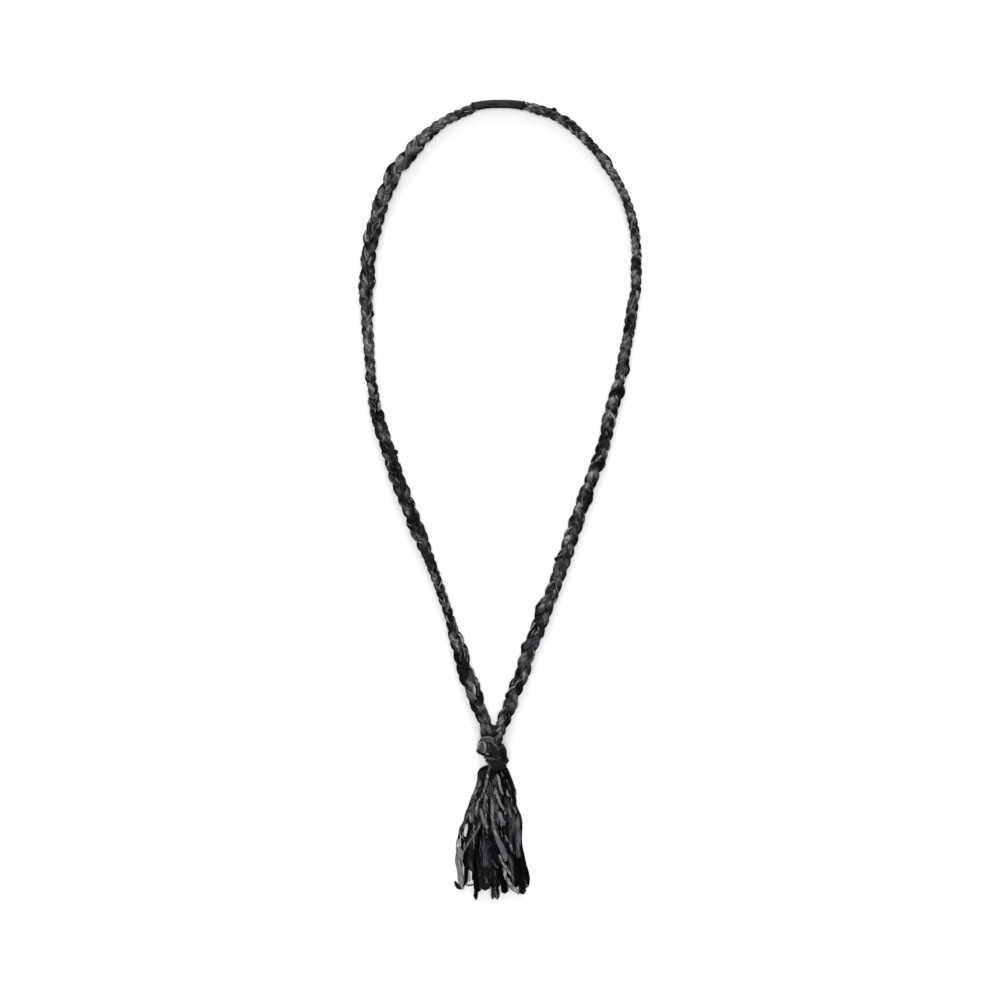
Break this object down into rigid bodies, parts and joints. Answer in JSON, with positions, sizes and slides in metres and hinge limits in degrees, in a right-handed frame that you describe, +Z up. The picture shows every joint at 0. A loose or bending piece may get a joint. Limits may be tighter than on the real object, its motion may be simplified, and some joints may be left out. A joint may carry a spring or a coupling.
{
  "type": "braided textile necklace",
  "caption": "Long soft pull-over necklace of plaited dark fabric strips, wrapped at the back of the neck, tied in one big knot above a ragged tassel.",
  "frame": {"origin": "middle of the necklace's outline, on the surface it lies on", "axes": "+Z up from the surface, +Y towards the back of the neck, the tassel towards -Y, +X to the right seen from above"},
  "size_m": [0.1697, 0.4808, 0.0129],
  "materials": {
    "braid_fabric": "plaited torn fabric strips and yarns, near-black and charcoal with mid-grey yarns, matt",
    "wrap_cloth": "smooth close-wrapped charcoal cloth, matt",
    "knot_fabric": "folds of the plait pulled tight, near-black with grey bands",
    "tassel_fabric": "loose frayed fabric strips, slate ribbons and grey plied yarns, soft silky sheen on the wide strips"
  },
  "bodies": {
    "root": {"braid_left": "braid_fabric", "braid_right": "braid_fabric", "back_wrap": "wrap_cloth", "knot": "knot_fabric", "tassel": "tassel_fabric"}
  },
  "joints": []
}
